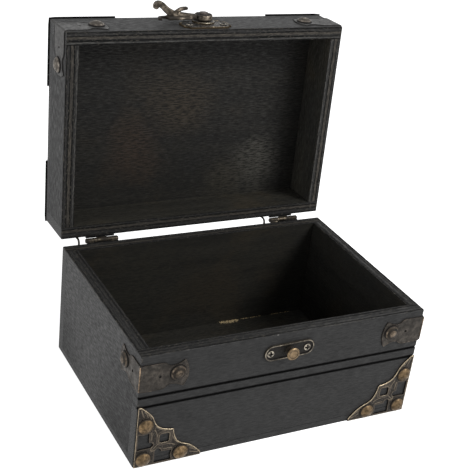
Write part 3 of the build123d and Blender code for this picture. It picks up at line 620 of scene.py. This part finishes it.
def caps(rows, around):
    """Faces over the first and the last row."""
    return [tuple(reversed(range(around))), tuple(range((rows - 1) * around, rows * around))]


# Domed nails, turned with a slightly hammered crown
NAIL_RINGS, NAIL_SIDES = 13, 40
CROWN_DROP = 0.08  # keeps the dents within the CAD model's nail
DENTS_PER_MM, DENT_DEPTH, SEED_STEP, SMOOTH_EDGE = 0.55, 0.1, 7.3, 1.5
NAIL_FOOT = [(NAIL_RADIUS - inset, height)
             for inset, height in ((0.25, -0.02), (0.04, 0.06), (0.0, 0.2), (0.05, 0.36))]
CROWN_RADIUS = NAIL_RADIUS - 0.16


def dome(seed):
    """One nail head with a rolled rim, in millimetres, its foot at the origin; also its rim shares."""
    def dent(point):
        return noise.noise(point * DENTS_PER_MM + Vector((seed * SEED_STEP, 0, 0))) * DENT_DEPTH

    bulge = NAIL_RISE - NAIL_RIM
    ball = (NAIL_RADIUS ** 2 + bulge ** 2) / (2 * bulge)
    profile = list(NAIL_FOOT)
    for i in range(NAIL_RINGS):
        radius = CROWN_RADIUS * math.cos(math.pi / 2 * i / NAIL_RINGS)
        profile.append((radius, NAIL_RISE - ball + math.sqrt(ball ** 2 - radius ** 2) - CROWN_DROP))
    vertices, shares = [], []
    for radius, height in profile:
        for point in circle(radius, height, NAIL_SIDES):
            lift = dent(Vector(point)) * min(1.0, (NAIL_RADIUS - radius) / SMOOTH_EDGE)
            vertices.append(Vector(point) + Vector((0, 0, lift)))
            shares.append(radius / NAIL_RADIUS)
    last, top = len(vertices) - NAIL_SIDES, len(vertices)
    vertices.append(Vector((0, 0, NAIL_RISE - CROWN_DROP + dent(Vector()))))
    shares.append(0.0)
    faces = skin(len(profile), NAIL_SIDES)
    faces += [(last + k, last + (k + 1) % NAIL_SIDES, top) for k in range(NAIL_SIDES)]
    return vertices, faces, shares


def nails(name, node, body, material, sites):
    """All nails of one node."""
    parts, shares = [], []
    for i, site in enumerate(sites):
        vertices, faces, rim_shares = dome(i + len(name))
        parts.append(placed(vertices, faces, site))
        shares += rim_shares
    made = piece(name, *joined(parts), body, "antique_brass", material)
    keep_values(made.data, "rim_share", shares)
    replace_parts(made, node)


HANDS = {"left": -1, "right": 1}
SIDES = tuple(HANDS.values())
SPOTS = ((NAIL_NEAR, NAIL_NEAR), (NAIL_NEAR, NAIL_FAR), (NAIL_FAR, NAIL_NEAR))
nails("nails_front_brackets", "front_bracket_nails", "body", nail_brass,
      [on_front(side * (HALF_WIDTH - u), v, BRACKET_TOP) for side in SIDES for u, v in SPOTS])
nails("nails_lid_brackets", "lid_bracket_nails", "lid", nail_brass,
      [on_top(side * (HALF_WIDTH - u), end * (HALF_DEPTH - v), BRACKET_TOP)
       for side in SIDES for end in SIDES for u, v in SPOTS])
nails("nails_body_straps", "body_strap_nails", "body", nail_dark,
      [on_front(side * STRAP_NAIL_X, BODY_NAIL_Z[side], STRAP_TOP) for side in SIDES]
      + [on_side(side, BODY_NAIL_Y, BODY_NAIL_Z[side], STRAP_TOP) for side in SIDES])
nails("nails_lid_straps", "lid_strap_nails", "lid", nail_lid,
      [on_front(side * STRAP_NAIL_X, LID_NAIL_Z, STRAP_TOP, OPENED) for side in SIDES]
      + [on_side(side, LID_NAIL_Y, LID_NAIL_Z, STRAP_TOP, OPENED) for side in SIDES])


# Outlines of flat CAD plates
def face_loops(node, frame_matrix):
    """Boundary loops of the faces that look along a frame's Z, as its points in millimetres, the largest first."""
    to_frame = (TO_METRES @ frame_matrix).inverted()
    mesh = nodes[node].data
    outward = (frame_matrix.to_3x3() @ Vector((0, 0, 1))).normalized()
    points = [to_frame @ v.co for v in mesh.vertices]
    keys = [(round(p.x, 3), round(p.y, 3), round(p.z, 2)) for p in points]
    directed = set()
    for polygon in mesh.polygons:
        if polygon.normal.dot(outward) > 0.999:
            corners = [keys[i] for i in polygon.vertices]
            directed.update(zip(corners, corners[1:] + corners[:1]))
    following = {a: b for a, b in directed if (b, a) not in directed}
    loops = []
    while following:
        start, point = following.popitem()
        loop = [start]
        while point != start and point in following:
            loop.append(point)
            point = following.pop(point)
        loops.append(np.array(loop))
    return sorted(loops, key=lambda loop: -np.ptp(loop, axis=0).sum())


def spread(loop, step):
    """Points at even steps along a closed loop."""
    closed = np.vstack([loop, loop[:1]])
    lengths = np.linalg.norm(np.diff(closed, axis=0), axis=1)
    along = np.concatenate([[0], np.cumsum(lengths)])
    places = np.linspace(0, along[-1], max(int(along[-1] / step), 8), endpoint=False)
    return np.stack([np.interp(places, along, axis) for axis in closed.T], axis=1)


def loop_distance(points, loop):
    """Distance of plane points to a closed loop, and whether each lies inside it."""
    start, end = loop[:, :2], np.roll(loop[:, :2], -1, axis=0)
    run = end - start
    offset = points[:, None, :] - start[None]
    share = np.clip((offset * run).sum(2) / np.maximum((run ** 2).sum(1), 1e-12), 0, 1)
    distance = np.linalg.norm(offset - share[..., None] * run, axis=2).min(axis=1)
    above = (start[None, :, 1] > points[:, None, 1]) != (end[None, :, 1] > points[:, None, 1])
    with np.errstate(divide="ignore", invalid="ignore"):
        crossing = start[:, 0] + (points[:, None, 1] - start[:, 1]) / run[:, 1] * run[:, 0]
    inside = (above & (points[:, None, 0] < crossing)).sum(axis=1) % 2 == 1
    return distance, inside


def ridge(distance, middle, half, rise):
    """Half-round ridge along the line whose middle is at a distance."""
    return np.sqrt(np.clip(1 - ((distance - middle) / half) ** 2, 0, 1)) * rise


def line_ridge(points, path, half):
    """Half-round ridge along an open path, thinning to its end."""
    best = np.zeros(len(points))
    count = len(path) - 1
    for i in range(count):
        a, b = np.array(path[i]), np.array(path[i + 1])
        run = b - a
        share = np.clip(((points - a) @ run) / (run @ run), 0, 1)
        distance = np.linalg.norm(points - a - share[:, None] * run, axis=1)
        wide = half * (1 - THINNING * (i + share) / count)
        best = np.maximum(best, ridge(distance, 0, wide, wide / half))
    return best


# Raised work of the brackets: u and v run from the corner along its two edges
VEINS = (
    ((10.6, 11.4), (11.4, 14.0), (11.9, 17.6)), ((11.2, 11.2), (13.4, 13.4), (15.6, 15.6)),
    ((2.6, 43.2), (3.4, 40.4), (4.6, 37.4)), ((4.8, 41.8), (6.2, 39.6), (7.2, 37.0)),
    ((7.2, 39.4), (8.8, 37.0), (9.4, 34.6)),
    ((12.4, 26.6), (13.6, 24.4), (14.4, 21.4)), ((10.4, 25.0), (10.8, 22.0), (10.9, 19.0)),
    ((13.2, 29.0), (15.8, 26.6), (19.6, 24.6)),
)
VEIN_HALF, VEIN_RISE, THINNING = 0.42, 0.24, 0.45
# Bead of the outline and rings of the holes: distance from the edge, half width and rise
BEAD, LARGE_RING = (0.22, 0.2, 0.3), (0.42, 0.36, 0.16)
SMALL_RING, OUTER_RING = (0.42, 0.36, 0.26), (1.7, 0.5, 0.16)
BEAD_REACH, RING_REACH, PINHOLE, LARGE_HOLE = 0.44, 0.9, 2.4, 7.5
STRAIGHT = 1.6  # within this of the box's edges the outline is straight
# how bright the raised work is painted, as wear and a painted highlight: the curved bead, its straight edge along
# the box's side, its other straight edge, the rings and the veins
SHINE, TOP_SHINE, EDGE_SHINE, RING_SHINE, VEIN_SHINE = 1.0, 0.75, 0.1, 0.14, 0.2
BRACKET_REACH, SUNK, STRETCH, MARGIN, LOWEST = 46, 0.05, 1.12, 0.03, 0.02
RELIEF_STEP = 0.2


def relief(step):
    """A bracket's raised work over its flat face, as a grid of vertices and faces with their shine."""
    outline, *holes = face_loops("front_bracket_left", FRONT_CORNER)
    count = int(BRACKET_REACH / step)
    axis = np.arange(count) * step
    points = np.stack([part.ravel() for part in np.meshgrid(axis, axis, indexing="ij")], axis=1)
    u, v = points.T
    distance, inside = loop_distance(points, outline)
    height = ridge(distance, *BEAD)
    straight = np.where(u < STRAIGHT, TOP_SHINE, EDGE_SHINE)
    shine = np.where(distance < BEAD_REACH, np.where((u > STRAIGHT) & (v > STRAIGHT), SHINE, straight), 0.0)
    for hole in (loop for loop in holes if np.ptp(loop[:, 0]) > PINHOLE):
        gap, within = loop_distance(points, hole)
        inside &= ~within
        if np.ptp(hole[:, 0]) > LARGE_HOLE:
            height = np.maximum(height, ridge(gap, *LARGE_RING))
        else:
            height = np.maximum(height, np.maximum(ridge(gap, *SMALL_RING), ridge(gap, *OUTER_RING)))
            shine = np.maximum(shine, np.where(gap < RING_REACH, RING_SHINE, 0.0))
    for path in VEINS:
        for each in (path, [p[::-1] for p in path]):
            line = line_ridge(points, each, VEIN_HALF)
            height = np.maximum(height, line * VEIN_RISE)
            shine = np.maximum(shine, np.where(line > 0, VEIN_SHINE, 0.0))
    height = np.where(inside & (distance > MARGIN), height, 0.0).reshape(count, count)
    shine = shine.reshape(count, count)
    vertices, faces, shares, index = [], [], [], {}

    def corner(i, j):
        if (i, j) not in index:
            index[i, j] = len(vertices)
            vertices.append((axis[i], axis[j], BRACKET_TOP - SUNK + height[i, j] * STRETCH))
            shares.append(shine[i, j])
        return index[i, j]

    for i in range(count - 1):
        for j in range(count - 1):
            if height[i:i + 2, j:j + 2].max() > LOWEST:
                faces.append((corner(i, j), corner(i + 1, j), corner(i + 1, j + 1), corner(i, j + 1)))
    return vertices, faces, shares


*relief_grid, relief_shine = relief(RELIEF_STEP)


def raised_work(name, body, matrix):
    made = piece(name, *placed(*relief_grid, matrix), body, "dark_bronze", relief_bronze)
    keep_values(made.data, "shine", relief_shine)


# Beads along the rims of plates
def tube(points, radius, closed, sides=8):
    """A round bead along a path in millimetres."""
    points = [Vector(p) for p in points]
    count = len(points)
    vertices, across = [], None
    for i, point in enumerate(points):
        before = points[i - 1] if closed or i else point
        after = points[(i + 1) % count] if closed or i < count - 1 else point
        run = (after - before).normalized()
        across = run.orthogonal() if across is None else across
        across = (across - run * across.dot(run)).normalized()
        other = run.cross(across)
        vertices += [point + (across * u + other * v) * radius for u, v, _ in circle(1.0, 0.0, sides)]
    return vertices, skin(count, sides, closed) + ([] if closed else caps(count, sides))


MIRROR, TURN_BACK = Matrix.Scale(-1, 4, (1, 0, 0)), Matrix.Scale(-1, 4, (0, 1, 0))
HAND_FLIPS = (("left", UPRIGHT), ("right", MIRROR))
TOP_CORNER = Matrix.Translation((-HALF_WIDTH, -HALF_DEPTH, LID_TOP))
LID_CORNERS = {f"lid_{end}_{hand}": OPENED @ flip_x @ flip_y @ TOP_CORNER
               for hand, flip_x in HAND_FLIPS for end, flip_y in (("front", UPRIGHT), ("back", TURN_BACK))}
# Along both edges of a lid bracket: off the box's side and down from the lid's top, in even steps
EDGE_OFF, EDGE_UP, EDGE_STEP, EDGE_THICK = 0.3, 0.5, 4.0, 0.6
EDGE_LEG = [(EDGE_STEP * i, -EDGE_OFF, EDGE_UP) for i in range(1, 12)]
EDGE_PATH = [(y, x, z) for x, y, z in reversed(EDGE_LEG)] + [(-0.1, -0.1, EDGE_UP)] + EDGE_LEG
for hand, flip_x in HAND_FLIPS:
    raised_work(f"bracket_relief_front_{hand}", "body", flip_x @ FRONT_CORNER)
for corner_name, matrix in LID_CORNERS.items():
    raised_work(f"bracket_relief_{corner_name}", "lid", matrix)
# a black tube along both edges of each lid bracket: a painted shadow line
for corner_name, matrix in LID_CORNERS.items():
    edge = placed(*tube(EDGE_PATH, EDGE_THICK, False), matrix)
    piece(f"bracket_shadow_line_{corner_name}", *edge, "lid", "dark_bronze", black_edge)


FOLD_REACH, FOLD_RADIUS, FOLD_STEPS, EDGE_RADIUS, PATH_STEP = 0.8, 0.34, 8, 0.15, 0.6


def strap_edges(body, hand, material, swing=UPRIGHT):
    """The rolled edge of a strap on both of its legs."""
    side, parts = HANDS[hand], []
    for matrix in (on_front(side * HALF_WIDTH, 0, 0, swing), on_side(side, -HALF_DEPTH, 0, 0, swing)):
        path = spread(face_loops(f"{body}_strap_{hand}", matrix)[0], PATH_STEP)
        keep = path[:, 0] * -side > FOLD_REACH
        first = next(i for i in range(len(path)) if keep[i] and not keep[i - 1])
        path = np.roll(path, -first, axis=0)[:int(keep.sum())]
        parts.append(placed(*tube(path, EDGE_RADIUS, False), matrix))
    piece(f"strap_edge_{body}_{hand}", *joined(parts), body, "dark_bronze", material)


def worn_highlit_fold(hand):
    """The bright fold of a body strap along the box's corner, worn and with a painted highlight."""
    side = HANDS[hand]
    low, high = (corner[2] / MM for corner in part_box(f"body_strap_{hand}"))
    off, end = STRAP_TOP - 0.1, 0.6
    line = [(side * (HALF_WIDTH + off), -HALF_DEPTH - off, low + end + (high - low - 2 * end) * i / FOLD_STEPS)
            for i in range(FOLD_STEPS + 1)]
    fold = placed(*tube(line, FOLD_RADIUS, False), UPRIGHT)
    piece(f"strap_fold_{hand}", *fold, "body", "dark_bronze", worn_highlight_brass)


for hand in HANDS:
    strap_edges("body", hand, dull_edge)
for hand in HANDS:
    worn_highlit_fold(hand)
# the lid straps' edges are near black as a painted shadow line
for hand in HANDS:
    strap_edges("lid", hand, dark_edge, OPENED)


# The edges of the hinge leaves that lie close along the barrel: y to the back and z up from the hinge axis
AT_BARREL = 1.95
LEAF_SECTION = ([(-3.3, 0.35), (-1.93, 0.35)]
                + [(-AT_BARREL * math.cos(math.radians(turn)), AT_BARREL * math.sin(math.radians(turn)))
                   for turn in (16, 24, 32, 40)]
                + [(-1.75, 2.6), (-3.3, 3.2)])


def leaf_edge(name, body, runs, up, swing=UPRIGHT):
    """Edges of both leaves: side, and start and end from the hinge's middle; up is -1 for the body's."""
    around = len(LEAF_SECTION)
    faces = skin(2, around) + caps(2, around)
    if up < 0:
        faces = [tuple(reversed(face)) for face in faces]
    parts = []
    for side, start, end in runs:
        vertices = [(side * HINGE_MIDDLE + x, y, up * z) for x in (start, end) for y, z in LEAF_SECTION]
        parts.append(placed(vertices, faces, swing @ Matrix.Translation(HINGE)))
    piece(name, *joined(parts), body, "antique_brass", dark_edge, smooth=False)


# the leaves' edges along the barrel are near black as painted shade
leaf_edge("hinge_leaf_edges_lid", "lid", ((-1, -11.0, 9.0), (1, -11.0, 7.0)), 1, OPENED)
leaf_edge("hinge_leaf_edges_body", "body", ((-1, -11.0, 11.0), (1, -5.0, 11.0)), -1)


# The latch: u runs out along the arm, v to the tail's side and w off the lid's front
HOOK_FRAME = seat((PIVOT[0], -HALF_DEPTH, PIVOT[1]), (-1, 0, 0), (0, -1, 0), OPENED) @ TURN_BACK


def turned(profile, around=48):
    """A closed profile of radii and heights turned about Z; its ends lie on the axis."""
    inner = profile[1:-1]
    vertices = [point for radius, height in inner for point in circle(radius, height, around)]
    faces = skin(len(inner), around)
    last, low, high = len(vertices) - around, len(vertices), len(vertices) + 1
    vertices += [(0.0, 0.0, profile[0][1]), (0.0, 0.0, profile[-1][1])]
    for k in range(around):
        after = (k + 1) % around
        faces += [(low, after, k), (high, last + k, last + after)]
    return vertices, faces


def ring(inner, outer, low, high, around=64):
    """A flat ring as a closed solid."""
    profile = ((inner, low), (outer, low), (outer, high), (inner, high))
    vertices = [point for radius, height in profile for point in circle(radius, height, around)]
    return vertices, skin(len(profile), around, looped=True)


def bar(stations, sides=20):
    """An oval bar through stations of place, half width in v and half height in w."""
    count, vertices = len(stations), []
    for i, (place, half_v, half_w) in enumerate(stations):
        before, after = stations[max(i - 1, 0)][0], stations[min(i + 1, count - 1)][0]
        run = (Vector(after) - Vector(before)).normalized()
        across = Vector((0, 0, 1)).cross(run).normalized()
        other = run.cross(across)
        vertices += [Vector(place) + across * (half_v * u) + other * (half_w * v)
                     for u, v, _ in circle(1.0, 0.0, sides)]
    return vertices, skin(count, sides) + caps(count, sides)


# The hub by its radii and heights, the arm and the thorn by stations for bar
HUB = (5.0, 5.85, 2.5, 6.2)
ARM = (((5.2, -0.4, 4.4), 3.3, 1.9), ((8.0, 0.8, 4.4), 3.1, 1.95), ((11.0, 2.8, 4.35), 2.7, 2.0),
       ((14.0, 4.8, 4.4), 2.3, 2.0), ((17.0, 5.95, 4.75), 1.75, 1.95), ((20.0, 6.15, 5.6), 1.5, 2.0),
       ((23.0, 6.2, 7.2), 1.42, 2.0), ((26.0, 6.2, 9.3), 1.42, 2.0), ((28.5, 6.2, 10.9), 1.35, 1.9))
THORN = (((18.6, 4.9, 5.0), 1.3, 1.4), ((17.2, 4.8, 6.9), 1.3, 1.45), ((15.2, 4.75, 8.1), 1.3, 1.4),
         ((12.8, 4.7, 8.7), 1.3, 1.35), ((10.6, 4.7, 8.85), 1.2, 1.2), ((9.7, 4.7, 8.85), 0.8, 0.7))
TAIL_START, CLAW_TOP, TAIL_FOOT, HUB_HOLE = 17.0, 4.7, 5.5, 5.1
VOXEL, WELD_GAP, SMOOTHINGS = 0.00022, 1e-7, 6


def rising(value, start, full):
    """0 up to start and 1 from full on."""
    return min(max((value - start) / (full - start), 0.0), 1.0)


def painted_shade(point, facing):
    """Painted shade on the hook: its faces turned out from the lid and back towards it are darkened, leaving its
    side edges bright as a painted highlight, and its hub, foot, tail and claw are dark.
    """
    share = max(0.75 * rising(facing, 0.45, 0.8), rising(-facing, 0.3, 0.7))
    if point.z < CLAW_TOP:
        share = max(share, rising(point.x, TAIL_START, TAIL_START + 3.0))
    if math.hypot(point.x, point.y) < HUB_HOLE:
        share = 1.0
    if point.x > TAIL_START and point.z > TAIL_FOOT:
        share = max(share, 0.6)
    if point.x < TAIL_START - 1.0:
        share = max(share, rising(point.z, 4.0, 3.2))
    return share


def cast(name):
    """The hook as a casting: the CAD form, hub, arm and thorn in one, with all edges softened."""
    mesh = nodes["latch_hook"].data.copy()
    made = linked(name, mesh)
    weld = bmesh.new()
    weld.from_mesh(mesh)
    for part in (ring(*HUB), bar(ARM), bar(THORN)):
        vertices, faces = placed(*part, HOOK_FRAME)
        new = [weld.verts.new(v) for v in vertices]
        for face in faces:
            weld.faces.new([new[i] for i in face])
    bmesh.ops.remove_doubles(weld, verts=weld.verts, dist=WELD_GAP)
    weld.to_mesh(mesh)
    weld.free()
    remesh = made.modifiers.new("remesh", "REMESH")
    remesh.mode, remesh.voxel_size, remesh.use_smooth_shade = "VOXEL", VOXEL, True
    soften = made.modifiers.new("soften", "SMOOTH")
    soften.iterations, soften.factor = SMOOTHINGS, 0.5
    final = bpy.data.meshes.new_from_object(made.evaluated_get(bpy.context.evaluated_depsgraph_get()))
    made.modifiers.clear()
    made.data = final
    final.name = name
    final.materials.clear()
    final.materials.append(hook_brass)
    final.shade_smooth()
    back = (TO_METRES @ HOOK_FRAME).inverted()
    outward = (HOOK_FRAME.to_3x3() @ Vector((0, 0, 1))).normalized()
    keep_values(final, "painted_shade", [painted_shade(back @ v.co, v.normal.dot(outward)) for v in final.vertices])
    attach(made, "hook")
    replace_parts(made, "latch_hook")


cast("hook_casting")

RIVET = ((0, -5.9), (1.5, -5.9), (1.5, 4.4), (3.8, 4.4), (4.3, 4.9), (4.35, 5.7), (4.2, 6.1), (3.9, 6.3),
         (3.7, 6.3), (3.62, 6.4), (3.5, 6.75), (3.1, 7.15), (2.3, 7.5), (1.2, 7.66), (0, 7.69))
rivet = placed(*turned(RIVET), PIVOT_FRAME)
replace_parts(piece("rivet_turned", *rivet, "lid", "antique_brass", rivet_brass), "latch_rivet")


BORDER_INSET, BORDER_HEIGHT, BORDER_RADIUS, BORDER_STEP = 0.35, 1.0, 0.26, 0.5
DISH_RADIUS, DISH_HEIGHT, DISH_POINTS, BEAD_RADIUS = 7.2, 1.8, 72, 0.3


def plate_border():
    """The latch plate's raised border and the bead round its dish."""
    outline = face_loops("latch_base_plate", PIVOT_FRAME)[0]
    middle = outline.mean(axis=0)
    border = spread(outline, BORDER_STEP)
    border[:, :2] += np.copysign(BORDER_INSET, middle[:2] - border[:, :2])
    border[:, 2] = BORDER_HEIGHT
    dish = circle(DISH_RADIUS, DISH_HEIGHT, DISH_POINTS)
    for name, path, radius, metal_kind in (("latch_plate_border", border, BORDER_RADIUS, latch_edge),
                                           ("latch_dish_bead", dish, BEAD_RADIUS, border_brass)):
        piece(name, *placed(*tube(path, radius, True), PIVOT_FRAME), "lid", "antique_brass", metal_kind)


plate_border()


# Floor, world, lamps and camera
def seen_ray(s):
    """1 for what the camera sees, also by a reflection or through glass."""
    path = s.node("LightPath").outputs
    return s.larger(path["Is Camera Ray"], s.larger(path["Is Glossy Ray"], path["Is Transmission Ray"]))


def floor():
    s = shader("floor_pale")
    diffuse = s.node("BsdfDiffuse", {"Color": grey(0.74)})
    glow = s.node("Emission", {"Color": grey(1.0), "Strength": s.times(seen_ray(s), 0.85)})
    material = s.finish("Material", s.node("AddShader", {0: diffuse.outputs[0], 1: glow.outputs[0]}))
    half = 9  # metres
    corners = [(-half, -half, 0), (half, -half, 0), (half, half, 0), (-half, half, 0)]
    made = linked("floor", mesh_of("floor", corners, [(0, 1, 2, 3)], material))


def world():
    studio = bpy.data.worlds.new("studio")
    bpy.context.scene.world = studio
    s = Shader(studio)
    light = s.node("Background", {"Color": grey(1.0), "Strength": 0.36})
    white = s.node("Background", {"Color": grey(1.0), "Strength": 1.0})
    s.finish("World", s.node("MixShader", {0: seen_ray(s), 1: light.outputs[0], 2: white.outputs[0]}))


LAMP_AIM = Vector((0, 0, 0.08))


def lamp(name, place, size, power):
    """A round lamp that looks at the box, in metres and watts."""
    light = bpy.data.lights.new(name, "AREA")
    light.shape, light.size, light.energy = "DISK", size, power
    made = linked(name, light)
    made.location = place
    made.rotation_euler = (LAMP_AIM - Vector(place)).to_track_quat("-Z", "Y").to_euler()


def camera():
    """The photograph's camera, solved from the corners of the box."""
    place = Vector((-316.1, -534.8, 418.6)) * MM
    turn, down, roll = math.radians(31.65), math.radians(29.03), math.radians(8.3)
    data = bpy.data.cameras.new("camera")
    data.lens, data.sensor_width = 81.72, 36.0
    data.shift_x, data.shift_y = -0.0489, 0.1143
    data.clip_start, data.clip_end = 0.01, 50.0
    made = linked("camera", data)
    made.matrix_world = (Matrix.Translation(place) @ Matrix.Rotation(-turn, 4, "Z")
                         @ Matrix.Rotation(math.pi / 2 - down, 4, "X") @ Matrix.Rotation(roll, 4, "Z"))
    bpy.context.scene.camera = made


floor()
world()
lamp("key", (-1.8, 0.05, 0.14), 1.1, 24.5)
lamp("fill", (1.05, -1.25, 1.45), 0.9, 33.0)
camera()
bpy.context.scene.view_settings.view_transform = "Standard"
